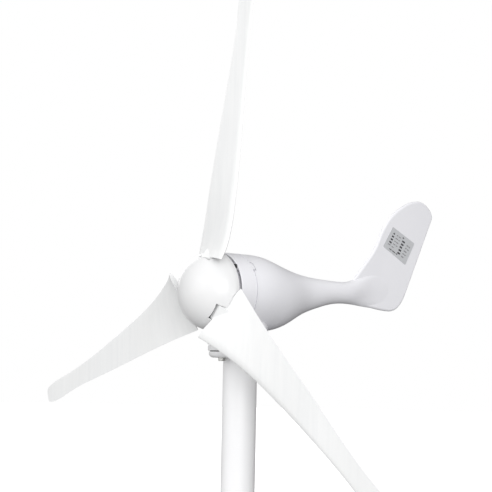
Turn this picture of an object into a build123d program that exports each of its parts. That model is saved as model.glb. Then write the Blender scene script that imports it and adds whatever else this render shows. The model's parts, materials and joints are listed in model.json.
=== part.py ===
from build123d import *
import math
import os

# Small wind turbine on a tube mast, in millimetres.
# Origin: centre of the mast's lower end, on the yaw axis. +Z up, nose towards -Y, tail towards +Y.
# "Station" is a distance along +Y from the rotor plane. "Level" is a height above the rotor axis.

# ---- driving dimensions -------------------------------------------------------------------
HUB_HEIGHT = 720.0
YAW_STATION = 85.0
ROTOR_RADIUS = 650.0
BLADE_COUNT = 3
FIRST_BLADE_ANGLE = 8.9

COVER_RADIUS = 80.0
COVER_FRONT = 19.5
JOINT_STATION = 57.5
NOSE_RADIUS = 80.5
NOSE_LENGTH = 71.0
NOSE_RIM = 10.6
NOSE_WALL = 3.0

MAST_RADIUS = 35.0
MAST_WALL = 4.0
MAST_TOP = -122.0
FLANGE_RADIUS = 65.0
NECK_BOTTOM = -107.0
YAW_GAP = 2.0

FIT = 0.02
RUN = 0.05
GUARD = 0.3
CAGE_WEB = 1.2
CAGE_CLEARANCE = 0.15

# ---- where things go ----------------------------------------------------------------------
ROTOR_AXIS = Pos(0, -YAW_STATION, HUB_HEIGHT) * Rot(X=-90)
ROTOR_FRAME = Pos(0, -YAW_STATION, HUB_HEIGHT)
YAW_AXIS = Pos(0, 0, HUB_HEIGHT)
PARTS = {}


def add(name, shape):
    """Keep one node under its name."""
    PARTS[name] = shape


def turned(corners):
    """A solid of revolution about Z from (radius, height) corners."""
    outline = Polyline(*[(radius, 0, height) for radius, height in corners], close=True)
    return revolve(make_face(outline), Axis.Z)


def ring(inner, outer, low, high):
    """A plain ring about Z, or a disc where the inner radius is 0."""
    return turned([(inner, low), (outer, low), (outer, high), (inner, high)])


def rod(radius, low, high):
    """A plain cylinder about Z between two heights."""
    return Pos(0, 0, low) * Cylinder(radius, high - low, align=(Align.CENTER, Align.CENTER, Align.MIN))


def hexagon(across_flats, low, high):
    """A hexagonal prism about Z."""
    profile = RegularPolygon(across_flats / 2, 6, major_radius=False)
    return Pos(0, 0, low) * extrude(profile, high - low)


def spread(shape, count, radius, first=0.0, step=None):
    """Copies of a shape round Z, each moved out by a radius, first along +X."""
    turn = 360 / count if step is None else step
    return [Rot(Z=first + index * turn) * Pos(radius, 0, 0) * shape for index in range(count)]


def around_axis(angle, radius):
    """A place on a circle round the rotor axis, counted clockwise from the top as seen from ahead."""
    return Rot(Z=angle - 90) * Pos(radius, 0, 0)


def round_axis(angle, radius):
    """The same place with the yaw axis as the origin."""
    return Pos(0, -YAW_STATION, 0) * Rot(X=-90) * around_axis(angle, radius)


def lug_sector(angle, margin):
    """One lug of the generator cover that reaches back over the joint, grown by a margin."""
    inner = COVER_RADIUS - COVER_LUG_DEPTH - margin
    outer = COVER_RADIUS + margin * 10
    band = ring(inner, outer, JOINT_STATION - 1, JOINT_STATION + COVER_LUG_LENGTH + margin)
    half = COVER_RADIUS * math.radians(COVER_LUG_HALF_ANGLE) + margin
    return band & (around_axis(angle, COVER_RADIUS) * Pos(0, 0, JOINT_STATION) * Box(30, 2 * half, 40))


def group(shapes):
    """Separate solids kept together as one node."""
    return Compound(children=list(shapes))


# ---- ball bearings ------------------------------------------------------------------------
class Bearing:
    """A deep-groove ball bearing about Z, its lower face at height 0."""

    def __init__(self, bore, outside, width, ball, count):
        self.bore = bore / 2
        self.outside = outside / 2
        self.width = width
        self.ball = ball / 2
        self.count = count
        self.pitch = (self.bore + self.outside) / 2
        self.groove = Torus(self.pitch, self.ball + RUN)
        self.land = 0.62 * self.ball

    def centred(self, shape):
        return Pos(0, 0, self.width / 2) * shape

    def inner_ring(self):
        body = ring(self.bore + FIT, self.pitch - self.land, 0, self.width)
        return body - self.centred(self.groove)

    def outer_ring(self):
        body = ring(self.pitch + self.land, self.outside - FIT, 0, self.width)
        return body - self.centred(self.groove)

    def balls(self):
        return [self.centred(ball) for ball in spread(Sphere(self.ball), self.count, self.pitch)]

    def cage(self):
        half = 0.30 * self.ball
        reach = self.ball + CAGE_WEB
        body = ring(self.pitch - half, self.pitch + half, -reach, reach)
        pocket = Rot(Y=90) * Cylinder(self.ball + CAGE_CLEARANCE, 4 * half)
        for hole in spread(pocket, self.count, self.pitch):
            body = body - hole
        return self.centred(body)


MAIN_BEARING = Bearing(bore=20, outside=47, width=14, ball=7.938, count=8)
YAW_BEARING = Bearing(bore=40, outside=68, width=9, ball=5.556, count=16)
FRONT_BEARING_STATION = 24.5
REAR_BEARING_STATION = 62.0
YAW_LOWER_LEVEL = -103.0
YAW_SPACER = 2.0
YAW_UPPER_LEVEL = YAW_LOWER_LEVEL + YAW_BEARING.width + YAW_SPACER
YAW_BEARINGS_TOP = YAW_UPPER_LEVEL + YAW_BEARING.width

# ---- fasteners: (radius, head or nut across flats, head height) ---------------------------
FLANGE_BOLT_RADIUS = 4.0
FLANGE_BOLT_CIRCLE = 49.0
FLANGE_BOLT_COUNT = 4
COVER_SCREW_RADIUS = 2.5
COVER_SCREW_HEAD = 4.7
COVER_SCREW_HEAD_HEIGHT = 3.6
COVER_SCREW_CIRCLE = 75.4
COVER_SCREW_ANGLES = (50, 130, 230, 310)
COVER_LUG_HALF_ANGLE = 6.0
COVER_LUG_LENGTH = 6.0
COVER_LUG_DEPTH = 6.0
BRACKET_SCREW_RADIUS = 1.5
BRACKET_SCREW_CIRCLE = 70.5
BLADE_BOLT_RADIUS = 3.0
BLADE_BOLT_PLACES = ((31, -6.5), (31, 15.5), (53, 4.5))
CONE_SCREW_RADIUS = 2.0
CONE_SCREW_CIRCLE = 50.0

# ---- mast ---------------------------------------------------------------------------------
SPIGOT_STEP = 0.5
FLANGE_THICKNESS = 12.0
FLANGE_EDGE = 9.0
GASKET_THICKNESS = 2.0
GASKET_RADIUS = 62.5
SPINDLE_FLANGE_TOP = NECK_BOTTOM - YAW_GAP
SPINDLE_FLANGE_BOTTOM = MAST_TOP + GASKET_THICKNESS
SPINDLE_FLANGE_RADIUS = 67.0
SPINDLE_BORE = 5.5
SPINDLE_SHOULDER = 25.0
CLIP_THICKNESS = 1.8
CLIP_DEPTH = 1.5
SEAT_TOP = YAW_BEARINGS_TOP + 3.5
SLIP_STEM = 8.0
SLIP_CORE = 11.0
SLIP_RING = 14.0
SLIP_BOTTOM = SEAT_TOP + 3.0
SLIP_RING_HEIGHT = 5.0
SLIP_RING_PITCH = 8.5
SLIP_COUNT = 3
SLIP_WALL = 1.75
SLIP_TOP = SLIP_BOTTOM + SLIP_COUNT * SLIP_RING_PITCH + SLIP_WALL


def slip_ring_base(index):
    return SLIP_BOTTOM + SLIP_WALL + index * SLIP_RING_PITCH + 0.8


def bolt_holes(radius, low, high):
    return spread(rod(radius, low, high), FLANGE_BOLT_COUNT, FLANGE_BOLT_CIRCLE)


def make_mast():
    """Tube, welded flange, gasket and bolts."""
    low = MAST_TOP - FLANGE_THICKNESS
    weld = 4.0
    bore = MAST_RADIUS - MAST_WALL
    spigot = MAST_RADIUS - SPIGOT_STEP
    tube = turned([
        (bore, -HUB_HEIGHT),
        (MAST_RADIUS, -HUB_HEIGHT),
        (MAST_RADIUS, low - weld),
        (spigot, low - weld),
        (spigot, MAST_TOP),
        (bore, MAST_TOP),
    ])
    add("mast_tube", YAW_AXIS * tube)

    plate = turned([
        (spigot + FIT, MAST_TOP),
        (FLANGE_RADIUS, MAST_TOP),
        (FLANGE_RADIUS, low),
        (MAST_RADIUS + weld, low),
        (MAST_RADIUS, low - weld),
        (spigot + FIT, low - weld),
    ])
    rim = plate.edges().filter_by(GeomType.CIRCLE).group_by(Axis.Z)[1].sort_by(SortBy.RADIUS)[-1]
    plate = fillet(rim, FLANGE_EDGE)
    for hole in bolt_holes(FLANGE_BOLT_RADIUS + 0.5, low - 1, MAST_TOP + 1):
        plate = plate - hole
    add("mast_flange", YAW_AXIS * plate)

    gasket = ring(bore + 2, GASKET_RADIUS, MAST_TOP, SPINDLE_FLANGE_BOTTOM)
    for hole in bolt_holes(FLANGE_BOLT_RADIUS + 0.5, MAST_TOP - 1, SPINDLE_FLANGE_BOTTOM + 1):
        gasket = gasket - hole
    add("flange_gasket", YAW_AXIS * gasket)

    washer_height = 1.6
    head_height = 5.3
    across_flats = 13.0
    washer = ring(FLANGE_BOLT_RADIUS + GUARD, 8.0, low - washer_height, low)
    add("flange_washers", YAW_AXIS * group(spread(washer, FLANGE_BOLT_COUNT, FLANGE_BOLT_CIRCLE)))
    head_top = low - washer_height
    bolt = hexagon(across_flats, head_top - head_height, head_top)
    bolt = chamfer(bolt.faces().sort_by(Axis.Z)[0].edges(), 0.6)
    bolt = bolt + rod(FLANGE_BOLT_RADIUS - FIT, head_top - 1, SPINDLE_FLANGE_TOP - 2)
    add("flange_bolts", YAW_AXIS * group(spread(bolt, FLANGE_BOLT_COUNT, FLANGE_BOLT_CIRCLE)))


def make_spindle():
    """Hollow flanged spindle with its bearings' inner rings, circlip and slip rings."""
    seat = YAW_BEARING.bore
    clip_low = YAW_BEARINGS_TOP + FIT
    spindle = turned([
        (SPINDLE_BORE, SPINDLE_FLANGE_BOTTOM),
        (SPINDLE_FLANGE_RADIUS, SPINDLE_FLANGE_BOTTOM),
        (SPINDLE_FLANGE_RADIUS, SPINDLE_FLANGE_TOP),
        (SPINDLE_SHOULDER, SPINDLE_FLANGE_TOP),
        (SPINDLE_SHOULDER, YAW_LOWER_LEVEL),
        (seat, YAW_LOWER_LEVEL),
        (seat, clip_low),
        (seat - CLIP_DEPTH, clip_low),
        (seat - CLIP_DEPTH, clip_low + CLIP_THICKNESS),
        (seat, clip_low + CLIP_THICKNESS),
        (seat, SEAT_TOP),
        (SLIP_STEM, SEAT_TOP),
        (SLIP_STEM, SLIP_TOP + 3),
        (SPINDLE_BORE, SLIP_TOP + 3),
    ])
    rims = spindle.edges().filter_by(GeomType.CIRCLE).filter_by(
        lambda edge: abs(edge.radius - SPINDLE_FLANGE_RADIUS) < 0.01
    )
    spindle = chamfer(rims, 1.2)
    for hole in bolt_holes(FLANGE_BOLT_RADIUS, SPINDLE_FLANGE_BOTTOM - 1, SPINDLE_FLANGE_TOP - 1.5):
        spindle = spindle - hole
    add("yaw_spindle", YAW_AXIS * spindle)

    add("yaw_lower_bearing_inner", YAW_AXIS * Pos(0, 0, YAW_LOWER_LEVEL) * YAW_BEARING.inner_ring())
    add("yaw_upper_bearing_inner", YAW_AXIS * Pos(0, 0, YAW_UPPER_LEVEL) * YAW_BEARING.inner_ring())
    spacer = ring(seat + FIT, seat + 3.5, YAW_LOWER_LEVEL + YAW_BEARING.width, YAW_UPPER_LEVEL)
    add("yaw_inner_spacer", YAW_AXIS * spacer)

    clip = ring(seat - CLIP_DEPTH + FIT, seat + 4, clip_low + FIT, clip_low + CLIP_THICKNESS - FIT)
    clip = clip - Pos(0, seat, clip_low) * Box(8, 16, 8)
    add("spindle_circlip", YAW_AXIS * clip)

    core = ring(SLIP_STEM + FIT, SLIP_RING + 1.0, SLIP_BOTTOM, SLIP_TOP)
    for index in range(SLIP_COUNT):
        base = slip_ring_base(index)
        core = core - ring(SLIP_CORE, SLIP_RING + 3, base, base + SLIP_RING_HEIGHT)
    add("slip_ring_core", YAW_AXIS * core)
    rings = []
    for index in range(SLIP_COUNT):
        base = slip_ring_base(index)
        rings.append(ring(SLIP_CORE + FIT, SLIP_RING, base + FIT, base + SLIP_RING_HEIGHT - FIT))
    add("slip_rings", YAW_AXIS * group(rings))


# ---- nacelle casting ----------------------------------------------------------------------
# Sections of the outside: distance behind the yaw axis, centre level, half height, half width.
BODY_SECTIONS = (
    (JOINT_STATION - YAW_STATION, 0, 80, 80),
    (-9, 0, 80, 80),
    (11, 0, 80, 79.5),
    (45, -1, 77, 75),
    (78, -3.5, 70.5, 67.5),
    (115, -2, 59, 55),
    (160, 4.5, 43.5, 39),
    (207, 10, 33, 30),
    (255, 15, 26, 24.5),
    (313, 18, 25.5, 20),
    (358, 24, 35, 12),
    (400, 29, 42.5, 7.2),
    (437, 33, 48, 5.2),
    (470, 37, 45, 4.2),
)
WALL = 5.0
HOLLOW_END = 7
FIN_THICKNESS = 10.0
FIN_ROUND = 4.6
SECTION_POINTS = 12
NECK_OUTSIDE = ((52, -40), (56, -78), (56, -84), (60, -93), (68, -100), (68, NECK_BOTTOM))
BEARING_BOSS = 42.0
CHIN_GAP = 1.5
JOINT_LINE = 2.6
NECK_WALL = 5.0
NECK_FLOOR = 6.0
BOSS_TOP = YAW_BEARINGS_TOP + 2.5
SCREW_BOSS_RADIUS = 6.5
SCREW_BOSS_LENGTH = 18.0
LABEL_THICKNESS = 0.5
LABEL_CORNERS = ((453, 179), (528, 146), (496, 93), (420, 131))


def oval(distance, level, half_height, half_width):
    """A closed smooth oval across the Y axis."""
    points = []
    for index in range(SECTION_POINTS):
        angle = 2 * math.pi * index / SECTION_POINTS
        points.append((half_width * math.sin(angle), distance, level + half_height * math.cos(angle)))
    return make_face(Spline(*points, periodic=True))


def fin_plate():
    """The upswept tail fin with rounded edges."""
    nose = (306, 30)
    front = Spline(
        nose, (337, 59), (363, 87), (395, 124), (419, 167), (451, 205), (495, 234), (540, 248),
        tangents=((1, 0.9), (1, 0.12)),
    )
    tip = Spline((540, 248), (573, 241), (592, 208), tangents=((1, 0.12), (-0.45, -0.9)))
    back = Line((592, 208), (501, 27))
    heel = Spline((501, 27), (480, -3), (442, -18), tangents=((-0.45, -0.89), (-1, 0.02)))
    keel = Spline((442, -18), (388, -13), (333, -4), tangents=((-1, 0.02), (-1, 0.2)))
    close = Line((333, -4), nose)
    face = make_face([Plane.YZ * edge for edge in (front, tip, back, heel, keel, close)])
    plate = extrude(face, FIN_THICKNESS / 2, dir=(1, 0, 0), both=True)
    sides = plate.faces().sort_by(Axis.X)
    return fillet(sides[0].edges() + sides[-1].edges(), FIN_ROUND)


def make_housing():
    """Casting with body, boom, fin and yaw neck."""
    outside = loft([oval(*section) for section in BODY_SECTIONS])
    inside_sections = []
    for distance, level, half_height, half_width in BODY_SECTIONS[:HOLLOW_END]:
        inside_sections.append((distance, level, half_height - WALL, half_width - WALL))
    front = inside_sections[0]
    inside_sections[0] = (front[0] - 1, front[1], front[2], front[3])
    inside = loft([oval(*section) for section in inside_sections])

    top = NECK_OUTSIDE[0][1]
    low = NECK_BOTTOM
    neck = turned([(0, top), *NECK_OUTSIDE, (0, low)])
    floor = low + NECK_FLOOR
    bell = [(radius - NECK_WALL, level) for radius, level in NECK_OUTSIDE[:4]]
    pocket = turned([(0, top + 5), (bell[0][0], top + 5), *bell, (bell[-1][0], floor), (0, floor)])
    boss = rod(BEARING_BOSS, low, BOSS_TOP)
    under_cover = Pos(0, -YAW_STATION, 0) * Rot(X=-90) * rod(COVER_RADIUS + CHIN_GAP, -50, JOINT_STATION)
    neck = neck - under_cover
    boss = boss - under_cover
    behind_joint = Pos(0, 200 + JOINT_STATION + WALL - YAW_STATION, 0) * Box(400, 400, 400)
    pocket = pocket & behind_joint

    shell = (outside + neck + fin_plate()) - inside - pocket
    shell = shell + boss
    seat = YAW_BEARING.outside
    shell = shell - turned([
        (0, low - 1),
        (seat, low - 1),
        (seat, YAW_LOWER_LEVEL - 2.5),
        (seat + 1.6, YAW_LOWER_LEVEL - 2.5),
        (seat + 1.6, YAW_LOWER_LEVEL),
        (seat, YAW_LOWER_LEVEL),
        (seat, YAW_BEARINGS_TOP),
        (seat - 4.5, YAW_BEARINGS_TOP),
        (seat - 4.5, BOSS_TOP + 1),
        (0, BOSS_TOP + 1),
    ])
    for angle in COVER_SCREW_ANGLES:
        boss = rod(SCREW_BOSS_RADIUS, JOINT_STATION, JOINT_STATION + SCREW_BOSS_LENGTH)
        hole = rod(COVER_SCREW_RADIUS, JOINT_STATION - 1, JOINT_STATION + SCREW_BOSS_LENGTH - 4)
        place = round_axis(angle, COVER_SCREW_CIRCLE)
        shell = shell + (place * boss & outside)
        shell = shell - place * hole
        shell = shell - Pos(0, -YAW_STATION, 0) * Rot(X=-90) * lug_sector(angle, JOINT_LINE)
    line = ring(COVER_RADIUS - JOINT_LINE, COVER_RADIUS + 3, JOINT_STATION - 1, JOINT_STATION + JOINT_LINE)
    shell = shell - Pos(0, -YAW_STATION, 0) * Rot(X=-90) * line
    return shell


def make_housing_parts():
    """Casting and the label on its fin."""
    add("nacelle_housing", YAW_AXIS * make_housing())
    outline = Polyline(*LABEL_CORNERS, close=True)
    plate = make_face([Plane.YZ * edge for edge in outline.edges()])
    plate = extrude(plate, LABEL_THICKNESS, dir=(1, 0, 0))
    plate = fillet(plate.edges().filter_by(Axis.X), 2.5)
    add("rating_plate", YAW_AXIS * Pos(FIN_THICKNESS / 2 + FIT / 2, 0, 0) * plate)


# ---- generator ----------------------------------------------------------------------------
COVER_BORE = 66.0
COVER_FACE = 6.0
COVER_EDGE = 1.5
BOSS_WALL = 5.5
GROOVE_INSIDE = 67.5
GROOVE_OUTSIDE = 77.5
GROOVE_DEPTH = 10.0
COVER_BOSS_RADIUS = 8.6
STATOR_FRONT = 35.0
STATOR_LENGTH = 15.0
STATOR_INSIDE = 47.0
TOOTH_WIDTH = 8.0
TOOTH_TIP = 15.0
SLOT_COUNT = 12
YOKE_INSIDE = 60.0
COIL_OVERHANG = 4.5
MAGNET_OUTSIDE = 46.0
MAGNET_INSIDE = 41.0
MAGNET_COUNT = 8
BRACKET_THICKNESS = 4.0
SEAL_RADIUS = 17.5
SHAFT_RADIUS = 10.0
BRUSH_BLOCK_FRONT = YAW_STATION + 21.0
BRUSH_BLOCK_DEPTH = 16.0
BRUSH_SIZE = (5.0, 4.0)


def make_cover():
    """Generator cover: the deep front shell that holds the stator and the front bearing."""
    bearing = MAIN_BEARING.outside
    inner_face = COVER_FRONT + COVER_FACE
    boss = bearing + BOSS_WALL
    boss_end = FRONT_BEARING_STATION + MAIN_BEARING.width - 3
    cover = turned([
        (SEAL_RADIUS, COVER_FRONT),
        (COVER_RADIUS, COVER_FRONT),
        (COVER_RADIUS, JOINT_STATION),
        (COVER_BORE, JOINT_STATION),
        (COVER_BORE, inner_face),
        (boss, inner_face),
        (boss, boss_end),
        (bearing, boss_end),
        (bearing, FRONT_BEARING_STATION),
        (SEAL_RADIUS, FRONT_BEARING_STATION),
    ])
    rim = cover.edges().filter_by(GeomType.CIRCLE).group_by(Axis.Z)[0].sort_by(SortBy.RADIUS)[-1]
    cover = fillet(rim, COVER_EDGE)
    groove_end = COVER_FRONT + GROOVE_DEPTH
    cover = cover - ring(GROOVE_INSIDE, GROOVE_OUTSIDE, COVER_FRONT - 1, groove_end)
    for angle in COVER_SCREW_ANGLES:
        place = around_axis(angle, COVER_SCREW_CIRCLE)
        boss = place * rod(COVER_BOSS_RADIUS, COVER_FRONT, groove_end + 1)
        cover = cover + (boss & ring(GROOVE_INSIDE - 1, GROOVE_OUTSIDE + 1, COVER_FRONT, groove_end + 1))
        cover = cover + lug_sector(angle, 0)
        lug_end = JOINT_STATION + COVER_LUG_LENGTH + 1
        cover = cover - place * rod(COVER_SCREW_RADIUS + 0.25, COVER_FRONT - 1, lug_end)
    for place in bracket_screw_places():
        cover = cover - place * rod(BRACKET_SCREW_RADIUS, JOINT_STATION - 12, JOINT_STATION + 1)
    add("generator_cover", ROTOR_AXIS * cover)

    screws = []
    for angle in COVER_SCREW_ANGLES:
        top = COVER_FRONT - COVER_SCREW_HEAD_HEIGHT
        head = chamfer(rod(COVER_SCREW_HEAD, top, COVER_FRONT).edges().group_by(Axis.Z)[0], 0.5)
        socket = hexagon(4.0, top - 1, top + 2.2)
        shank = rod(COVER_SCREW_RADIUS - FIT, COVER_FRONT - 1, JOINT_STATION + 12)
        screws.append(around_axis(angle, COVER_SCREW_CIRCLE) * (head - socket + shank))
    add("cover_screws", ROTOR_AXIS * group(screws))

    seal = ring(SHAFT_RADIUS + RUN, SEAL_RADIUS - FIT, COVER_FRONT + 0.5, FRONT_BEARING_STATION)
    add("shaft_seal", ROTOR_AXIS * seal)
    outer = Pos(0, 0, FRONT_BEARING_STATION) * MAIN_BEARING.outer_ring()
    add("front_bearing_outer", ROTOR_AXIS * outer)


def bracket_screw_places():
    return [around_axis(angle, BRACKET_SCREW_CIRCLE) for angle in (0, 90, 180, 270)]


def make_stator():
    """Laminated core with twelve teeth and a coil round each."""
    end = STATOR_FRONT + STATOR_LENGTH
    core = ring(YOKE_INSIDE, COVER_BORE - FIT, STATOR_FRONT, end)
    middle = (STATOR_FRONT + end) / 2
    neck = YOKE_INSIDE - STATOR_INSIDE
    tooth = Pos(STATOR_INSIDE + 1 + neck / 2, 0, middle) * Box(neck, TOOTH_WIDTH, STATOR_LENGTH)
    tip = Pos(STATOR_INSIDE + 1.5, 0, middle) * Box(5, TOOTH_TIP, STATOR_LENGTH)
    for piece in spread(tooth + tip, SLOT_COUNT, 0):
        core = core + piece
    core = core - rod(STATOR_INSIDE, STATOR_FRONT - 1, end + 1)
    add("stator_core", ROTOR_AXIS * core)

    coil_height = STATOR_LENGTH + 2 * COIL_OVERHANG
    coil_width = TOOTH_WIDTH + 2 * COIL_OVERHANG
    coil_depth = 6.9
    outer = fillet(Box(coil_depth, coil_width, coil_height).edges().filter_by(Axis.X), COIL_OVERHANG)
    hole = Box(coil_depth + 2, TOOTH_WIDTH + 2 * GUARD, STATOR_LENGTH + 2 * GUARD)
    coil = Pos(STATOR_INSIDE + 5 + coil_depth / 2, 0, middle) * (outer - hole)
    add("stator_coils", ROTOR_AXIS * group(spread(coil, SLOT_COUNT, 0)))


def make_bracket():
    """Rear bracket behind the stator with the rear bearing in its boss."""
    bearing = MAIN_BEARING.outside
    boss = bearing + 5.0
    low = JOINT_STATION
    high = low + BRACKET_THICKNESS
    bore_end = REAR_BEARING_STATION + MAIN_BEARING.width
    bracket = turned([
        (SHAFT_RADIUS + 4, low),
        (COVER_BORE + 2, low),
        (COVER_BORE + 2, high),
        (boss, high),
        (boss, bore_end),
        (bearing, bore_end),
        (bearing, REAR_BEARING_STATION),
        (SHAFT_RADIUS + 4, REAR_BEARING_STATION),
    ])
    for place in bracket_screw_places():
        bracket = bracket + place * rod(4.0, low, high)
    for place in bracket_screw_places():
        bracket = bracket - place * rod(BRACKET_SCREW_RADIUS + GUARD, low - 1, high + 1)
    relief = rod(SCREW_BOSS_RADIUS + 1.3, low - 1, high + 1)
    for angle in COVER_SCREW_ANGLES:
        bracket = bracket - around_axis(angle, COVER_SCREW_CIRCLE) * relief
    window = rod(8.5, low - 1, high + 1)
    for hole in spread(window, 6, 46.0):
        bracket = bracket - hole
    add("rear_bracket", ROTOR_AXIS * bracket)
    screws = []
    for place in bracket_screw_places():
        head = chamfer(rod(2.9, high, high + 2.2).edges().group_by(Axis.Z)[-1], 0.6)
        screws.append(place * (head + rod(BRACKET_SCREW_RADIUS - FIT, JOINT_STATION - 8, high + 1)))
    add("bracket_screws", ROTOR_AXIS * group(screws))
    outer = Pos(0, 0, REAR_BEARING_STATION) * MAIN_BEARING.outer_ring()
    add("rear_bearing_outer", ROTOR_AXIS * outer)


def make_yaw_outer():
    """What the nacelle's neck holds round the spindle."""
    seat = YAW_BEARING.outside
    add("yaw_lower_bearing_outer", YAW_AXIS * Pos(0, 0, YAW_LOWER_LEVEL) * YAW_BEARING.outer_ring())
    add("yaw_upper_bearing_outer", YAW_AXIS * Pos(0, 0, YAW_UPPER_LEVEL) * YAW_BEARING.outer_ring())
    spacer = ring(seat - 3.0, seat - FIT, YAW_LOWER_LEVEL + YAW_BEARING.width, YAW_UPPER_LEVEL)
    add("yaw_outer_spacer", YAW_AXIS * spacer)
    clip = ring(seat - 3.0, seat + 1.5, YAW_LOWER_LEVEL - 2.2, YAW_LOWER_LEVEL - 0.1)
    clip = clip - Pos(seat, 0, YAW_LOWER_LEVEL - 1) * Box(12, 9, 6)
    add("yaw_retaining_ring", YAW_AXIS * clip)
    seal = turned([
        (SPINDLE_SHOULDER + RUN, NECK_BOTTOM),
        (seat - FIT, NECK_BOTTOM),
        (seat - FIT, YAW_LOWER_LEVEL - 2.5),
        (seat - 4, YAW_LOWER_LEVEL - 2.5),
        (seat - 4, NECK_BOTTOM + 1.2),
        (SPINDLE_SHOULDER + RUN, NECK_BOTTOM + 1.2),
    ])
    add("neck_seal", YAW_AXIS * seal)


def make_brushes():
    """Brush block behind the slip rings, with brushes, springs and the three phase leads."""
    width = 15.0
    front = BRUSH_BLOCK_FRONT - YAW_STATION
    centre = front + BRUSH_BLOCK_DEPTH / 2
    block_top = SLIP_TOP
    block = Pos(0, centre, (BOSS_TOP + block_top) / 2) * Box(width, BRUSH_BLOCK_DEPTH, block_top - BOSS_TOP)
    foot = Pos(0, centre + 7, BOSS_TOP + 2) * Box(width + 14, 10, 4)
    holder = block + (foot & rod(BEARING_BOSS - 1, BOSS_TOP, BOSS_TOP + 4))
    brushes = []
    springs = []
    wide, tall = BRUSH_SIZE
    brush_back = front + 5
    chamber_end = front + BRUSH_BLOCK_DEPTH - 2
    for index in range(SLIP_COUNT):
        middle = slip_ring_base(index) + SLIP_RING_HEIGHT / 2
        length = chamber_end - (front - 1)
        slot = Pos(0, front - 1 + length / 2, middle) * Box(wide + 0.3, length, tall + 0.3)
        holder = holder - slot
        reach = brush_back - (SLIP_RING - 2)
        brush = Pos(0, SLIP_RING - 2 + reach / 2, middle) * Box(wide, reach, tall)
        brushes.append(brush - Pos(0, 0, middle) * Cylinder(SLIP_RING + RUN, tall + 2))
        springs.append(Pos(0, 0, middle) * brush_spring(brush_back + 0.1, chamber_end - 0.1))
    add("brush_holder", YAW_AXIS * holder)
    add("brushes", YAW_AXIS * group(brushes))
    add("brush_springs", YAW_AXIS * group(springs))


def brush_spring(start, end):
    """A small coil spring along Y."""
    wire = 0.3
    radius = 1.4
    height = end - start - 2 * wire
    turns = 6
    path = Helix(pitch=height / turns, height=height, radius=radius)
    section = Plane(path @ 0, z_dir=path % 0) * Circle(wire)
    coil = sweep(section, path=path)
    return Pos(0, start + wire, 0) * Rot(X=-90) * coil


def make_leads():
    """Three insulated leads from the coils to the terminals on the brush block."""
    lead = 1.3
    depth = BRUSH_BLOCK_FRONT + BRUSH_BLOCK_DEPTH / 2 - YAW_STATION
    start = STATOR_FRONT + STATOR_LENGTH + COIL_OVERHANG + 0.2 - YAW_STATION
    side = 7.5 + 0.1
    bend = 4.5
    leads = []
    for sideways, level, terminal_level in ((-22, -39, -57), (20, -37, -56), (26, -42, -65)):
        terminal = math.copysign(side, sideways)
        path = FilletPolyline(
            (sideways, start, level),
            (sideways, depth, level),
            (sideways, depth, terminal_level),
            (terminal, depth, terminal_level),
            radius=bend,
        )
        section = Plane(path @ 0, z_dir=path % 0) * Circle(lead)
        leads.append(sweep(section, path=path))
    add("phase_leads", YAW_AXIS * group(leads))


# ---- rotor --------------------------------------------------------------------------------
# Blade stations: radius, leading half chord, trailing half chord, pitch in degrees, thickness share, station.
BLADE_SECTIONS = (
    (69, 71.0, 62.5, 18.5, 0.115, -13.0),
    (90, 67.0, 58.5, 14.5, 0.115, -8.0),
    (125, 61.0, 53.0, 10.0, 0.115, -3.5),
    (190, 50.5, 46.0, 4.0, 0.110, 0.0),
    (300, 39.0, 37.5, -0.5, 0.105, 2.5),
    (430, 28.5, 27.0, -1.0, 0.100, 3.0),
    (560, 24.5, 20.0, -2.0, 0.095, 1.5),
    (ROTOR_RADIUS - 15, 23.5, 17.0, -2.0, 0.090, 0.0),
    (ROTOR_RADIUS - 4, 19.0, 13.0, -2.0, 0.090, 0.0),
    (ROTOR_RADIUS, 8.0, 8.0, -2.0, 0.090, 0.0),
)
AEROFOIL = ((0.99, 1), (0.85, 1), (0.65, 1), (0.42, 1), (0.22, 1), (0.07, 1), (0.0, 1),
            (0.07, -1), (0.22, -1), (0.42, -1), (0.65, -1), (0.85, -1), (0.99, -1))
CAMBER = 0.025
TONGUE_WIDTH = 35.0
TONGUE_CENTRE = 4.5
TONGUE_INNER = 22.0
TONGUE_OUTER = 78.0
TONGUE_FRONT = -10.0
TONGUE_BACK = 2.0
# Side view of the block where the tongue thickens into the blade: station, radius.
ROOT_WEDGE = ((-8, 60), (-23.5, 60), (-23.5, 67), (-9, 84), (TONGUE_BACK, 78), (TONGUE_BACK, 60))
SLOT_FRONT = -30.0
SLOT_GAP = 1.5
HUB_THICKNESS = 9.0
HUB_BORE = 9.0
HUB_ARM_END = 61.0
HUB_DISC = 44.0
CONE_LUG = 8.0
MAIN_SHAFT_END = 80.0


def aerofoil(station, grow=0.0):
    """One closed blade section across Z, grown outward by a margin."""
    radius, leading, trailing, pitch, share, shift = station
    leading = leading + grow
    chord = leading + trailing + grow
    turn = math.radians(pitch)
    corners = []
    for along, side in AEROFOIL:
        thick = 5 * share * (
            0.2969 * math.sqrt(along)
            - 0.126 * along
            - 0.3516 * along**2
            + 0.2843 * along**3
            - 0.1015 * along**4
        )
        offset = side * (thick * chord + grow) + 4 * CAMBER * along * (1 - along) * chord
        if along == 0:
            offset = 0
        distance = leading - along * chord
        corners.append((
            distance * math.cos(turn) + offset * math.sin(turn),
            shift - distance * math.sin(turn) + offset * math.cos(turn),
            radius,
        ))
    curve = Spline(*corners)
    return make_face([curve, Line(corners[-1], corners[0])])


def blade_form(stations, grow=0.0):
    return loft([aerofoil(station, grow) for station in stations])


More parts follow.
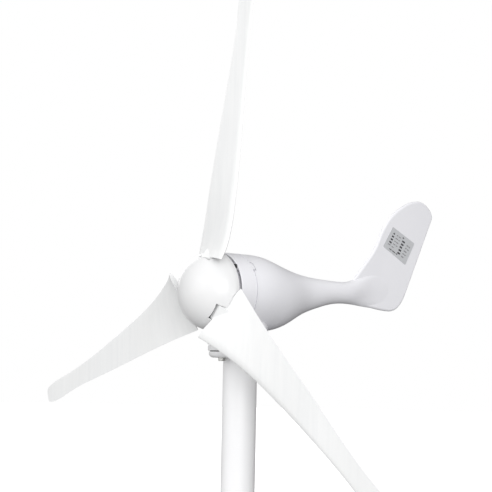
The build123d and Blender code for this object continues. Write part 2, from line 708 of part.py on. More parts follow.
def make_blade():
    """One blade along +Z with its bolting tongue."""
    blade = blade_form(BLADE_SECTIONS)
    length = TONGUE_OUTER - TONGUE_INNER
    tongue = Pos(TONGUE_CENTRE, (TONGUE_FRONT + TONGUE_BACK) / 2, TONGUE_INNER + length / 2) * Box(
        TONGUE_WIDTH, TONGUE_BACK - TONGUE_FRONT, length)
    tongue = fillet(tongue.edges().filter_by(Axis.Y), 6)
    outline = Polyline(*ROOT_WEDGE, close=True)
    side_view = make_face([Plane.YZ * edge for edge in outline.edges()])
    wedge = extrude(side_view, TONGUE_WIDTH / 2, dir=(1, 0, 0), both=True)
    blade = blade + tongue + Pos(TONGUE_CENTRE, 0, 0) * wedge
    for radius, sideways in BLADE_BOLT_PLACES:
        hole = Pos(sideways, 0, radius) * Rot(X=-90) * rod(BLADE_BOLT_RADIUS + GUARD, -30, 30)
        blade = blade - hole
    return blade


def blade_angles():
    return [FIRST_BLADE_ANGLE + index * 360 / BLADE_COUNT for index in range(BLADE_COUNT)]


def make_hub():
    """Three-armed hub plate with its fasteners and the blades bolted to it."""
    low = TONGUE_BACK
    high = low + HUB_THICKNESS
    hub = rod(HUB_DISC, low, high) + rod(18, TONGUE_FRONT, high + 3)
    bolts, washers, nuts, cone_screws = [], [], [], []
    for angle in blade_angles():
        middle = Pos(HUB_ARM_END / 2, TONGUE_CENTRE, (low + high) / 2)
        arm = middle * Box(HUB_ARM_END, TONGUE_WIDTH, HUB_THICKNESS)
        arm = fillet(arm.edges().filter_by(Axis.Z).sort_by(Axis.X)[-2:], 8)
        hub = hub + around_axis(angle, 0) * arm
        hub = hub + around_axis(angle + 60, CONE_SCREW_CIRCLE) * rod(CONE_LUG, low, high)
        for radius, sideways in BLADE_BOLT_PLACES:
            place = around_axis(angle, radius) * Pos(0, sideways, 0)
            hub = hub - place * rod(BLADE_BOLT_RADIUS + GUARD, low - 1, high + 1)
            washers.append(place * ring(BLADE_BOLT_RADIUS + GUARD, 6.2, TONGUE_FRONT - 1.4, TONGUE_FRONT))
            head = hexagon(10, TONGUE_FRONT - 5.6, TONGUE_FRONT - 1.4)
            bolts.append(place * (head + rod(BLADE_BOLT_RADIUS - RUN, TONGUE_FRONT - 2, high + 6)))
            nuts.append(place * (hexagon(10, high, high + 5) - rod(BLADE_BOLT_RADIUS, high - 1, high + 6)))
        place = around_axis(angle + 60, CONE_SCREW_CIRCLE)
        hub = hub - place * rod(CONE_SCREW_RADIUS + GUARD, low - 1, high + 1)
        head = chamfer(rod(3.8, high, high + 2.6).edges().group_by(Axis.Z)[-1], 0.6)
        cone_screws.append(place * (head + rod(CONE_SCREW_RADIUS - RUN, low - 9, high + 1)))
    hub = hub - rod(HUB_BORE, TONGUE_FRONT - 1, high + 4)
    keyway = Pos(0, HUB_BORE, (TONGUE_FRONT + high) / 2) * Box(5, 5, high - TONGUE_FRONT + 10)
    hub = hub - keyway
    add("hub", ROTOR_AXIS * hub)
    add("blade_bolts", ROTOR_AXIS * group(bolts))
    add("blade_washers", ROTOR_AXIS * group(washers))
    add("blade_nuts", ROTOR_AXIS * group(nuts))
    add("nose_cone_screws", ROTOR_AXIS * group(cone_screws))
    blade = make_blade()
    for index, angle in enumerate(blade_angles()):
        add(f"blade_{index + 1}", ROTOR_FRAME * Rot(Y=angle) * blade)


def nose_dome(radius, length):
    """Half of an ellipsoid ahead of the rim."""
    points = []
    for step in range(10):
        angle = math.radians(10 * step)
        points.append((radius * math.sin(angle), 0, -length * math.cos(angle)))
    arc = Spline(*points, tangents=((1, 0, 0), (0, 0, 1)))
    centre = (0, 0, 0)
    outline = make_face([arc, Line(points[-1], centre), Line(centre, points[0])])
    dome = revolve(outline, Axis.Z)
    return Pos(0, 0, NOSE_RIM) * dome


def make_nose_cone():
    """Plastic nose cone with three blade slots and inner screw posts."""
    outside = nose_dome(NOSE_RADIUS, NOSE_LENGTH)
    inside = nose_dome(NOSE_RADIUS - NOSE_WALL, NOSE_LENGTH - NOSE_WALL)
    shell = outside - inside
    for angle in blade_angles():
        post = around_axis(angle + 60, CONE_SCREW_CIRCLE) * rod(5, -60, TONGUE_BACK - 0.05)
        post = post & outside
        hole = around_axis(angle + 60, CONE_SCREW_CIRCLE) * rod(CONE_SCREW_RADIUS, -10, TONGUE_BACK + 1)
        shell = shell + (post - hole)
    shell = Rot(X=-90) * shell
    tool = blade_slot_tool()
    for angle in blade_angles():
        shell = shell - Rot(Y=angle) * tool
    add("nose_cone", ROTOR_FRAME * shell)


def blade_slot_tool():
    """What one blade needs cut from the nose cone: a slot for its tongue and the blade's own outline."""
    length = NOSE_RIM + 1 - SLOT_FRONT
    width = TONGUE_WIDTH + 2 * SLOT_GAP
    slot = Pos(TONGUE_CENTRE, SLOT_FRONT + length / 2, 70) * Box(width, length, 80)
    first = (BLADE_SECTIONS[0][0] - SLOT_GAP,) + BLADE_SECTIONS[0][1:]
    return slot + blade_form((first,) + BLADE_SECTIONS[1:3], SLOT_GAP)


def make_shaft():
    """Main shaft with key, nut, washer, magnet rotor, inner rings and circlip."""
    hub_back = TONGUE_BACK + HUB_THICKNESS + 3
    nut_front = TONGUE_FRONT - 14
    shaft = turned([
        (0, nut_front - 4),
        (7, nut_front - 4),
        (7, TONGUE_FRONT - 1),
        (HUB_BORE - FIT, TONGUE_FRONT - 1),
        (HUB_BORE - FIT, hub_back),
        (SHAFT_RADIUS, hub_back),
        (SHAFT_RADIUS, MAIN_SHAFT_END),
        (0, MAIN_SHAFT_END),
    ])
    key_size = 5.0
    key_low = TONGUE_FRONT + 1
    key_high = TONGUE_BACK + HUB_THICKNESS - 1
    key_length = key_high - key_low
    key_place = Pos(0, HUB_BORE, (key_low + key_high) / 2)
    key_box = key_place * Box(key_size - RUN, key_size - RUN, key_length)
    shaft = shaft - key_place * Box(key_size, key_size, key_length + RUN)
    groove_low = REAR_BEARING_STATION + MAIN_BEARING.width + 0.1
    shaft = shaft - ring(SHAFT_RADIUS - 1, SHAFT_RADIUS + 2, groove_low, groove_low + 1.4)
    add("main_shaft", ROTOR_AXIS * shaft)
    add("shaft_key", ROTOR_AXIS * key_box)
    clip = ring(SHAFT_RADIUS - 0.9, SHAFT_RADIUS + 3, groove_low + 0.1, groove_low + 1.3)
    clip = clip - Pos(SHAFT_RADIUS, 0, groove_low) * Box(10, 5, 6)
    add("shaft_circlip", ROTOR_AXIS * clip)
    add("hub_washer", ROTOR_AXIS * ring(HUB_BORE + GUARD, 17, TONGUE_FRONT - 2, TONGUE_FRONT))
    nut = hexagon(22, nut_front, TONGUE_FRONT - 2) - rod(7 + FIT, nut_front - 1, TONGUE_FRONT)
    add("hub_nut", ROTOR_AXIS * nut)

    low = STATOR_FRONT + 2
    high = STATOR_FRONT + STATOR_LENGTH
    core = ring(SHAFT_RADIUS + FIT, MAGNET_INSIDE, low, high)
    core = core - ring(0, MAIN_BEARING.outside + BOSS_WALL + 1, low - 1, low + 3)
    for hole in spread(rod(4.5, low - 1, high + 1), 4, 24, first=45):
        core = core - hole
    add("rotor_core", ROTOR_AXIS * core)
    band = ring(MAGNET_INSIDE + FIT, MAGNET_OUTSIDE, low, high)
    wedge = Pos(MAGNET_OUTSIDE / 2 + 8, 0, (low + high) / 2) * Box(60, 28, 40)
    magnets = [band & piece for piece in spread(wedge, MAGNET_COUNT, 0)]
    add("rotor_magnets", ROTOR_AXIS * group(magnets))
    for name, station in (("front", FRONT_BEARING_STATION), ("rear", REAR_BEARING_STATION)):
        inner = Pos(0, 0, station) * MAIN_BEARING.inner_ring()
        add(f"{name}_bearing_inner", ROTOR_AXIS * inner)


def make_rolling_parts():
    """Balls and cages of the four bearings."""
    main = (("front", FRONT_BEARING_STATION), ("rear", REAR_BEARING_STATION))
    for name, station in main:
        add(f"{name}_bearing_balls", ROTOR_AXIS * Pos(0, 0, station) * group(MAIN_BEARING.balls()))
    add("main_bearing_cages", ROTOR_AXIS * group(
        [Pos(0, 0, station) * MAIN_BEARING.cage() for _, station in main]))
    yaw = (("lower", YAW_LOWER_LEVEL), ("upper", YAW_UPPER_LEVEL))
    for name, level in yaw:
        add(f"yaw_{name}_bearing_balls", YAW_AXIS * Pos(0, 0, level) * group(YAW_BEARING.balls()))
    add("yaw_bearing_cages", YAW_AXIS * group(
        [Pos(0, 0, level) * YAW_BEARING.cage() for _, level in yaw]))


if __name__ == "__main__":
    os.makedirs("parts", exist_ok=True)
    make_mast()
    make_spindle()
    make_housing_parts()
    make_cover()
    make_stator()
    make_bracket()
    make_yaw_outer()
    make_brushes()
    make_leads()
    make_hub()
    make_nose_cone()
    make_shaft()
    make_rolling_parts()
    for node, shape in PARTS.items():
        export_step(shape, f"parts/{node}.step")
    print(len(PARTS), "nodes written")
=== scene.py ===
import json
import math

import bmesh
import bpy
from mathutils import Matrix, Vector


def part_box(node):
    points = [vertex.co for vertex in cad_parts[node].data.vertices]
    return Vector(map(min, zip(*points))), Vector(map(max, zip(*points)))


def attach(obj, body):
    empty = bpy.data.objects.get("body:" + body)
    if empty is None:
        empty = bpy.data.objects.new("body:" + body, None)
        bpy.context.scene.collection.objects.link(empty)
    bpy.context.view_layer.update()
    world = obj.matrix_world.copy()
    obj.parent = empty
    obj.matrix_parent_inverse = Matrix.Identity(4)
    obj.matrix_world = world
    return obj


# Looks of the small wind turbine: camera, studio, materials and the fine pieces that the CAD frame lacks.
# Everything is in metres, with the mast's foot at the origin, the nose towards -Y and the tail towards +Y.

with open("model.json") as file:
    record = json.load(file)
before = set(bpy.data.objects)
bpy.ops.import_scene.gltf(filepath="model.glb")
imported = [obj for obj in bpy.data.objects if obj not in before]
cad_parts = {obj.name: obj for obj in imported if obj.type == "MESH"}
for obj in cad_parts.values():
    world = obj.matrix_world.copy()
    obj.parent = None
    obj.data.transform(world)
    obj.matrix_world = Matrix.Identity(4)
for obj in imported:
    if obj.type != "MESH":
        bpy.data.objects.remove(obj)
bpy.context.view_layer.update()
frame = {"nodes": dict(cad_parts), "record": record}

HUB = Vector((0.0, -0.085, 0.720))
BLADE_ANGLES = {"blade_1": 8.9, "blade_2": 128.9, "blade_3": 248.9}
MAST_RADIUS = 0.035
FLANGE_THICKNESS = 0.012
LIGHT_TARGET = Vector((0.0, 0.1, 0.75))
LIT_SIDE = Vector((0.1, -0.85, 0.5))
FLOOR_RADIUS = 14.0


# ---- camera -------------------------------------------------------------------------------
def make_camera():
    """The reference viewpoint: low, from ahead and to the rotor's right, with a slight roll."""
    azimuth = math.radians(49.53)
    elevation = math.radians(-5.70)
    roll = math.radians(1.20)
    distance = 2.416
    aim_right = 0.0735
    aim_up = 0.0907
    back = Vector((
        math.sin(azimuth) * math.cos(elevation),
        -math.cos(azimuth) * math.cos(elevation),
        math.sin(elevation),
    ))
    level_right = Vector((math.cos(azimuth), math.sin(azimuth), 0.0))
    level_up = back.cross(level_right)
    right = math.cos(roll) * level_right + math.sin(roll) * level_up
    up = -math.sin(roll) * level_right + math.cos(roll) * level_up
    data = bpy.data.cameras.new("camera")
    data.sensor_width = 36.0
    data.lens = 87.3
    data.clip_start = 0.05
    data.clip_end = 100.0
    camera = bpy.data.objects.new("camera", data)
    bpy.context.scene.collection.objects.link(camera)
    place = HUB + distance * back + aim_right * right + aim_up * up
    camera.matrix_world = Matrix((
        (right.x, up.x, back.x, place.x),
        (right.y, up.y, back.y, place.y),
        (right.z, up.z, back.z, place.z),
        (0.0, 0.0, 0.0, 1.0),
    ))
    bpy.context.scene.camera = camera


# ---- node helpers -------------------------------------------------------------------------
class Material:
    """A principled material with object coordinates and a few procedural parts."""

    def __init__(self, name, roughness=0.4, metallic=0.0, coat=0.0, coat_roughness=0.1, specular=0.5):
        self.material = bpy.data.materials.new(name)
        self.material.use_nodes = True
        self.tree = self.material.node_tree
        self.shader = self.tree.nodes["Principled BSDF"]
        self.shader.inputs["Roughness"].default_value = roughness
        self.shader.inputs["Metallic"].default_value = metallic
        self.shader.inputs["Coat Weight"].default_value = coat
        self.shader.inputs["Coat Roughness"].default_value = coat_roughness
        self.shader.inputs["Specular IOR Level"].default_value = specular
        self.place = self.new("ShaderNodeTexCoord").outputs["Object"]
        self.normal = None

    def new(self, kind, **settings):
        node = self.tree.nodes.new(kind)
        for key, value in settings.items():
            setattr(node, key, value)
        return node

    def join(self, source, target):
        self.tree.links.new(source, target)

    def mapped(self, scale=(1, 1, 1), rotation=(0, 0, 0), location=(0, 0, 0), source=None):
        node = self.new("ShaderNodeMapping")
        node.inputs["Scale"].default_value = scale
        node.inputs["Rotation"].default_value = rotation
        node.inputs["Location"].default_value = location
        self.join(source or self.place, node.inputs["Vector"])
        return node.outputs["Vector"]

    def noise(self, scale, detail=3.0, roughness=0.5, source=None, distortion=0.0):
        node = self.new("ShaderNodeTexNoise")
        node.inputs["Scale"].default_value = scale
        node.inputs["Detail"].default_value = detail
        node.inputs["Roughness"].default_value = roughness
        node.inputs["Distortion"].default_value = distortion
        self.join(source or self.place, node.inputs["Vector"])
        return node.outputs["Fac"]

    def cells(self, scale):
        node = self.new("ShaderNodeTexVoronoi", feature="F1")
        node.inputs["Scale"].default_value = scale
        self.join(self.place, node.inputs["Vector"])
        return node.outputs["Distance"]

    def wave(self, scale, direction="X", source=None, distortion=0.0, detail=0.0, bands="BANDS"):
        node = self.new("ShaderNodeTexWave", wave_type=bands)
        if bands == "BANDS":
            node.bands_direction = direction
        else:
            node.rings_direction = direction
        node.inputs["Scale"].default_value = scale
        node.inputs["Distortion"].default_value = distortion
        node.inputs["Detail"].default_value = detail
        self.join(source or self.place, node.inputs["Vector"])
        return node.outputs["Fac"]

    def range(self, source, low, high, to_low, to_high):
        node = self.new("ShaderNodeMapRange")
        node.inputs["From Min"].default_value = low
        node.inputs["From Max"].default_value = high
        node.inputs["To Min"].default_value = to_low
        node.inputs["To Max"].default_value = to_high
        self.join(source, node.inputs["Value"])
        return node.outputs["Result"]

    def blend(self, factor, first, second):
        """A colour between two others; each is a colour or a socket."""
        node = self.new("ShaderNodeMix", data_type="RGBA")
        self.join(factor, node.inputs["Factor"])
        for value, socket in ((first, node.inputs[6]), (second, node.inputs[7])):
            if isinstance(value, (tuple, list)):
                socket.default_value = (*value, 1.0)
            else:
                self.join(value, socket)
        return node.outputs[2]

    def times(self, first, second):
        node = self.new("ShaderNodeMath", operation="MULTIPLY")
        self.join(first, node.inputs[0])
        self.join(second, node.inputs[1])
        return node.outputs["Value"]

    def colour(self, source):
        self.join(source, self.shader.inputs["Base Color"])

    def rough(self, source):
        self.join(source, self.shader.inputs["Roughness"])

    def bump(self, height, depth, strength=1.0):
        """Relief of a given depth in metres; a second call lies on the first."""
        node = self.new("ShaderNodeBump")
        node.inputs["Distance"].default_value = depth
        node.inputs["Strength"].default_value = strength
        self.join(height, node.inputs["Height"])
        if self.normal is not None:
            self.join(self.normal, node.inputs["Normal"])
        self.normal = node.outputs["Normal"]
        self.join(self.normal, self.shader.inputs["Normal"])


# ---- materials ----------------------------------------------------------------------------
def powder_coat(name, light, dark, roughness=0.34, peel=0.00004):
    """White powder coat: orange peel, faint cloudiness, specks of dust and settled grime."""
    look = Material(name, coat=0.25, coat_roughness=0.12, specular=0.45)
    cloud = look.noise(7.0, 4.0)
    shade = look.blend(look.range(cloud, 0.3, 0.7, 0.0, 1.0), dark, light)
    speck = look.range(look.cells(900.0), 0.02, 0.10, 1.0, 0.0)
    rare = look.range(look.noise(260.0, 1.0), 0.66, 0.70, 0.0, 0.35)
    specked = look.blend(look.times(speck, rare), shade, tuple(0.45 * part for part in dark))
    look.colour(specked)
    look.rough(look.range(look.noise(55.0, 5.0), 0.3, 0.7, roughness - 0.05, roughness + 0.08))
    look.bump(look.noise(420.0, 2.0), peel, 0.55)
    look.bump(look.noise(2600.0, 2.0), peel * 0.2, 0.4)
    return look.material


def blade_plastic(name, angle):
    """Moulded white nylon with flow streaks along the span and a fine grain."""
    look = Material(name, coat=0.12, coat_roughness=0.2, specular=0.42)
    turned = look.mapped(location=tuple(-HUB))
    along = look.mapped(scale=(1.0, 1.0, 0.06), rotation=(0.0, -math.radians(angle), 0.0), source=turned)
    streaks = look.noise(90.0, 5.0, 0.6, source=along)
    cloud = look.noise(9.0, 3.0)
    base = look.blend(look.range(streaks, 0.3, 0.7, 0.0, 1.0), (0.835, 0.843, 0.847), (0.883, 0.887, 0.887))
    aged = look.blend(look.range(cloud, 0.35, 0.75, 0.0, 0.22), base, (0.81, 0.81, 0.797))
    look.colour(aged)
    look.rough(look.range(streaks, 0.3, 0.7, 0.36, 0.47))
    look.bump(streaks, 0.00005, 0.4)
    look.bump(look.noise(1800.0, 2.0), 0.000012, 0.5)
    return look.material


def gloss_plastic(name):
    """Nose cone: smooth gloss moulding with faint sink marks and hairline swirls."""
    look = Material(name, coat=0.3, coat_roughness=0.16, specular=0.4)
    cloud = look.noise(11.0, 3.0)
    base = look.blend(look.range(cloud, 0.3, 0.7, 0.0, 1.0), (0.765, 0.767, 0.772), (0.795, 0.795, 0.798))
    look.colour(base)
    hair = look.noise(160.0, 8.0, 0.75, distortion=1.4)
    look.rough(look.range(hair, 0.35, 0.75, 0.30, 0.42))
    look.bump(look.noise(38.0, 2.0), 0.00012, 0.35)
    look.bump(look.noise(1400.0, 2.0), 0.000006, 0.4)
    return look.material


def turned_metal(name, light, dark, roughness, axis, pitch=2400.0):
    """Lathe-turned or ground metal with fine rings along one axis."""
    look = Material(name, metallic=1.0)
    rings = look.wave(pitch, axis, distortion=1.5, detail=2.0)
    cloud = look.noise(60.0, 4.0)
    look.colour(look.blend(look.range(cloud, 0.3, 0.7, 0.0, 1.0), dark, light))
    look.rough(look.range(cloud, 0.3, 0.7, roughness - 0.05, roughness + 0.10))
    look.bump(rings, 0.000012, 0.5)
    return look.material


def zinc_plate(name):
    """Bright zinc with a faint crystalline mottling and rubbed spots."""
    look = Material(name, metallic=1.0)
    grains = look.cells(700.0)
    cloud = look.noise(180.0, 4.0)
    look.colour(look.blend(look.range(cloud, 0.3, 0.7, 0.0, 1.0), (0.46, 0.46, 0.44), (0.70, 0.70, 0.68)))
    look.rough(look.range(grains, 0.0, 0.7, 0.28, 0.46))
    look.bump(grains, 0.00002, 0.4)
    return look.material


def cast_metal(name, light, dark):
    """Sand-cast aluminium: pitted, matt and slightly uneven."""
    look = Material(name, metallic=1.0)
    pits = look.noise(700.0, 5.0, 0.7)
    look.colour(look.blend(look.range(pits, 0.3, 0.7, 0.0, 1.0), dark, light))
    look.rough(look.range(pits, 0.3, 0.7, 0.62, 0.42))
    look.bump(pits, 0.00012, 0.6)
    return look.material


def laminated_steel(name):
    """Stacked sheets 0.5 mm thick, seen as fine lines across the axis of the shaft."""
    look = Material(name, metallic=0.9)
    sheets = look.wave(1.0 / 0.0005 / 6.283, "Y")
    look.colour(look.blend(sheets, (0.10, 0.11, 0.13), (0.34, 0.36, 0.40)))
    look.rough(look.range(look.noise(300.0), 0.3, 0.7, 0.38, 0.55))
    look.bump(sheets, 0.00008, 0.7)
    return look.material


def wire_winding(name):
    """Enamelled copper wire wound round each tooth, 0.8 mm across."""
    look = Material(name, metallic=1.0, coat=0.6, coat_roughness=0.15)
    turned = look.mapped(location=tuple(-HUB))
    wires = look.wave(1.0 / 0.0008 / 6.283, "SPHERICAL", source=turned, distortion=0.4, bands="RINGS")
    look.colour(look.blend(wires, (0.24, 0.07, 0.03), (0.78, 0.36, 0.17)))
    look.rough(look.range(look.noise(400.0), 0.3, 0.7, 0.24, 0.38))
    look.bump(wires, 0.0002, 0.9)
    return look.material


def dark_polymer(name, colour, roughness, grain=1200.0, depth=0.00003, specular=0.4):
    """Rubber, nylon or carbon: dark, grained and slightly dusty."""
    look = Material(name, specular=specular)
    dust = look.noise(90.0, 5.0)
    pale = tuple(min(1.0, part * 2.2 + 0.02) for part in colour)
    look.colour(look.blend(look.range(dust, 0.45, 0.85, 0.0, 0.6), colour, pale))
    look.rough(look.range(dust, 0.3, 0.7, roughness - 0.08, roughness + 0.08))
    look.bump(look.noise(grain, 3.0), depth, 0.6)
    return look.material


def label_foil(name):
    """Silver foil brushed along the plate's long side."""
    look = Material(name, metallic=0.15, specular=0.5)
    along = look.mapped(scale=(1.0, 0.05, 1.0), rotation=(math.radians(22.8), 0.0, 0.0))
    brushed = look.noise(2600.0, 4.0, source=along)
    look.colour(look.blend(look.range(brushed, 0.3, 0.7, 0.0, 1.0), (0.56, 0.57, 0.59), (0.68, 0.69, 0.71)))
    look.rough(look.range(brushed, 0.3, 0.7, 0.36, 0.52))
    look.bump(brushed, 0.00001, 0.5)
    return look.material


def printed_ink(name, colour):
    """Matt screen-printed ink, worn a little thin."""
    look = Material(name, specular=0.3)
    worn = look.noise(1500.0, 4.0)
    faded = tuple(part + 0.22 for part in colour)
    look.colour(look.blend(look.range(worn, 0.45, 0.8, 0.0, 0.5), colour, faded))
    look.rough(look.range(worn, 0.3, 0.7, 0.45, 0.65))
    look.bump(worn, 0.00001, 0.4)
    return look.material


def make_materials():
    """One material for each finish in the record, and one per blade for its streaks."""
    looks = {
        "white_paint": powder_coat("nacelle_coat", (0.870, 0.868, 0.900), (0.840, 0.838, 0.872)),
        "mast_paint": powder_coat("mast_coat", (0.880, 0.880, 0.888), (0.850, 0.850, 0.860), 0.40, 0.00005),
        "nose_plastic": gloss_plastic("nose_gloss"),
        "zinc_steel": zinc_plate("bright_zinc"),
        "black_steel": dark_polymer("black_oxide", (0.045, 0.045, 0.048), 0.36, 2000.0, 0.00001, 0.6),
        "machined_steel": turned_metal("turned_steel", (0.60, 0.61, 0.62), (0.48, 0.49, 0.50), 0.30, "Z"),
        "bearing_steel": turned_metal(
            "ground_steel", (0.78, 0.79, 0.81), (0.68, 0.69, 0.71), 0.14, "Y", 5200.0,
        ),
        "cage_brass": turned_metal("machined_brass", (0.80, 0.62, 0.30), (0.66, 0.48, 0.20), 0.26, "Z"),
        "laminations": laminated_steel("steel_laminations"),
        "copper_winding": wire_winding("wound_copper"),
        "cast_aluminium": cast_metal("cast_alloy", (0.70, 0.71, 0.72), (0.50, 0.51, 0.53)),
        "magnet_nickel": turned_metal(
            "nickel_plate", (0.74, 0.71, 0.66), (0.64, 0.62, 0.58), 0.18, "X", 900.0,
        ),
        "black_nylon": dark_polymer("black_nylon", (0.030, 0.030, 0.034), 0.42),
        "carbon": dark_polymer("carbon_graphite", (0.022, 0.022, 0.024), 0.50, 3000.0),
        "black_rubber": dark_polymer("black_rubber", (0.026, 0.026, 0.027), 0.68, 900.0, 0.00005, 0.3),
        "lead_insulation": dark_polymer("red_silicone", (0.42, 0.030, 0.022), 0.46, 700.0),
        "label_silver": label_foil("silver_foil"),
    }
    for row in frame["record"]["subparts"]:
        node = frame["nodes"][row["node"]]
        slot = row["material_slot"]
        if row["node"] in BLADE_ANGLES:
            look = blade_plastic(f"{row['node']}_nylon", BLADE_ANGLES[row["node"]])
        else:
            look = looks[slot]
        if not node.material_slots:
            node.data.materials.append(look)
        for place in node.material_slots:
            place.material = look
    return looks


# ---- fine pieces --------------------------------------------------------------------------
def piece(name, mesh, look, body, smooth=True):
    """A new object on a body, with its finish."""
    made = bpy.data.objects.new(name, mesh)
    bpy.context.scene.collection.objects.link(made)
    mesh.materials.append(look)
    if smooth:
        mesh.shade_smooth()
    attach(made, body)
    return made


def mesh_from(name, corners, faces):
    mesh = bpy.data.meshes.new(name)
    mesh.from_pydata(corners, [], faces)
    mesh.update()
    return mesh


def weld_bead(look):
    """The fillet weld under the mast flange, laid in overlapping ripples."""
    box_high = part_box("mast_flange")[1]
    leg = 0.0048
    level = box_high.z - FLANGE_THICKNESS
    ripples = 96
    steps = ripples * 6
    around = 9
    corners = []
    for index in range(steps):
        angle = 2 * math.pi * index / steps
        wave = abs(math.sin(angle * ripples / 2))
        size = leg * (1.0 + 0.05 * wave)
        for turn in range(around):
            lean = 0.5 * math.pi * turn / (around - 1)
            sink = 0.22 * size * math.sin(2 * lean)
            out = size * math.cos(lean) - sink * 0.5
            down = size * math.sin(lean) - sink * 0.5
            radius = MAST_RADIUS + out
            corners.append((radius * math.cos(angle), radius * math.sin(angle), level - down))
        corners.append((MAST_RADIUS * math.cos(angle), MAST_RADIUS * math.sin(angle), level))
    width = around + 1
    faces = []
    for index in range(steps):
        after = (index + 1) % steps
        for turn in range(width):
            side = (turn + 1) % width
            near = index * width
            far = after * width
            faces.append((near + turn, far + turn, far + side, near + side))
    return piece("mast_weld", mesh_from("mast_weld", corners, faces), look, "mast")


def label_marks(dark, pale):
    """Rows of plain printed dashes that stand for the fin label's small print."""
    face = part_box("rating_plate")[1].x + 0.00002
    # The plate's first corner and its two sides, as distances behind the yaw axis and heights.
    start = Vector((0.453, 0.899))
    along = Vector((0.075, -0.033))
    across = Vector((-0.033, -0.048))
    thick = 0.00008
    # Each row: distance down the label, then dashes from first to last along it, and their half width.
    heavy = (
        (0.22, ((0.12, 0.19),), 0.030),
        (0.36, ((0.12, 0.20),), 0.036),
        (0.50, ((0.12, 0.21),), 0.036),
        (0.64, ((0.12, 0.22),), 0.036),
        (0.12, ((0.50, 0.56),), 0.024),
        (0.26, ((0.54, 0.66),), 0.036),
        (0.40, ((0.55, 0.66),), 0.038),
        (0.54, ((0.55, 0.65),), 0.038),
        (0.68, ((0.56, 0.67),), 0.038),
        (0.82, ((0.57, 0.68),), 0.038),
        (0.91, ((0.24, 0.34), (0.37, 0.50), (0.53, 0.60)), 0.020),
    )
    light = (
        (0.20, ((0.27, 0.33), (0.36, 0.44)), 0.020),
        (0.34, ((0.27, 0.37), (0.40, 0.46)), 0.020),
        (0.48, ((0.28, 0.34), (0.36, 0.45)), 0.020),
        (0.62, ((0.28, 0.38), (0.41, 0.47)), 0.020),
        (0.76, ((0.12, 0.22), (0.28, 0.36)), 0.020),
        (0.30, ((0.76, 0.84), (0.86, 0.92)), 0.024),
        (0.44, ((0.76, 0.82), (0.85, 0.92)), 0.024),
        (0.58, ((0.76, 0.88),), 0.024),
        (0.72, ((0.76, 0.82), (0.84, 0.90)), 0.024),
        (0.86, ((0.76, 0.86),), 0.024),
    )
    for name, rows, look in (("label_marks_dark", heavy, dark), ("label_marks_pale", light, pale)):
        corners = []
        faces = []
        for middle, spans, half in rows:
            for first, last in spans:
                base = len(corners)
                for level in (0.0, thick):
                    for where, side in ((first, -half), (last, -half), (last, half), (first, half)):
                        spot = start + along * where + across * (middle + side)
                        corners.append((face + level, spot.x, spot.y))
                faces.append((base, base + 3, base + 2, base + 1))
                faces.append((base + 4, base + 5, base + 6, base + 7))
                for corner in range(4):
                    after = (corner + 1) % 4
                    faces.append((base + corner, base + after, base + 4 + after, base + 4 + corner))
        piece(name, mesh_from(name, corners, faces), look, "nacelle", smooth=False)


# ---- studio -------------------------------------------------------------------------------
def area_light(name, azimuth, elevation, distance, size, power):
    """A soft box aimed at the middle of the turbine. Azimuth 0 is ahead, 90 to +X."""
    turn = math.radians(azimuth)
    rise = math.radians(elevation)
    back = Vector((math.sin(turn) * math.cos(rise), -math.cos(turn) * math.cos(rise), math.sin(rise)))
    data = bpy.data.lights.new(name, "AREA")
    data.shape = "RECTANGLE"
    data.size, data.size_y = size
    data.energy = power
    light = bpy.data.objects.new(name, data)
    bpy.context.scene.collection.objects.link(light)
    light.location = LIGHT_TARGET + distance * back
    light.rotation_mode = "QUATERNION"
    light.rotation_quaternion = back.to_track_quat("Z", "Y")


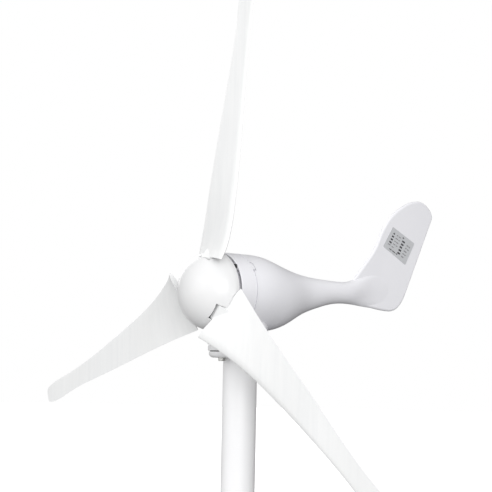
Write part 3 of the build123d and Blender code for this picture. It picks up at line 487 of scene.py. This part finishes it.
def make_studio():
    area_light("key", -8, 14, 2.8, (1.8, 1.8), 8.0)
    area_light("front", 64, 10, 3.4, (2.4, 2.0), 62.0)
    area_light("over", 50, 75, 2.6, (2.4, 2.4), 5.0)
    area_light("behind", 252, 24, 3.2, (2.2, 2.0), 22.0)

    world = bpy.data.worlds.new("studio")
    bpy.context.scene.world = world
    world.use_nodes = True
    tree = world.node_tree
    shader = tree.nodes["Background"]
    shader.inputs["Color"].default_value = (1.0, 1.0, 1.0, 1.0)
    seen = tree.nodes.new("ShaderNodeTexCoord")
    toward = tree.nodes.new("ShaderNodeVectorMath")
    toward.operation = "DOT_PRODUCT"
    toward.inputs[1].default_value = LIT_SIDE.normalized()
    tree.links.new(seen.outputs["Generated"], toward.inputs[0])
    room = tree.nodes.new("ShaderNodeMapRange")
    room.inputs["From Min"].default_value = -0.9
    room.inputs["From Max"].default_value = 0.9
    room.inputs["To Min"].default_value = 0.08
    room.inputs["To Max"].default_value = 0.92
    tree.links.new(toward.outputs["Value"], room.inputs["Value"])
    path = tree.nodes.new("ShaderNodeLightPath")
    level = tree.nodes.new("ShaderNodeMapRange")
    level.inputs["To Max"].default_value = 1.0
    tree.links.new(room.outputs["Result"], level.inputs["To Min"])
    tree.links.new(path.outputs["Is Camera Ray"], level.inputs["Value"])
    tree.links.new(level.outputs["Result"], shader.inputs["Strength"])
    bpy.context.scene.view_settings.view_transform = "Standard"
    bpy.context.scene.view_settings.look = "None"

    mesh = bpy.data.meshes.new("floor")
    grid = bmesh.new()
    bmesh.ops.create_circle(grid, cap_ends=True, segments=96, radius=FLOOR_RADIUS)
    grid.to_mesh(mesh)
    grid.free()
    floor = bpy.data.objects.new("floor", mesh)
    floor.location.z = -0.0005
    bpy.context.scene.collection.objects.link(floor)
    look = Material("pale_floor", specular=0.2)
    look.shader.inputs["Emission Color"].default_value = (1.0, 1.0, 1.0, 1.0)
    look.shader.inputs["Emission Strength"].default_value = 0.80
    grain = look.noise(14.0, 4.0)
    look.colour(look.blend(grain, (0.86, 0.86, 0.86), (0.90, 0.90, 0.90)))
    look.rough(look.range(grain, 0.3, 0.7, 0.75, 0.9))
    mesh.materials.append(look.material)
    floor.visible_diffuse = False
    floor.visible_glossy = False


make_camera()
looks = make_materials()
weld_bead(looks["mast_paint"])
label_marks(printed_ink("dark_ink", (0.05, 0.05, 0.055)), printed_ink("pale_ink", (0.26, 0.26, 0.27)))
make_studio()
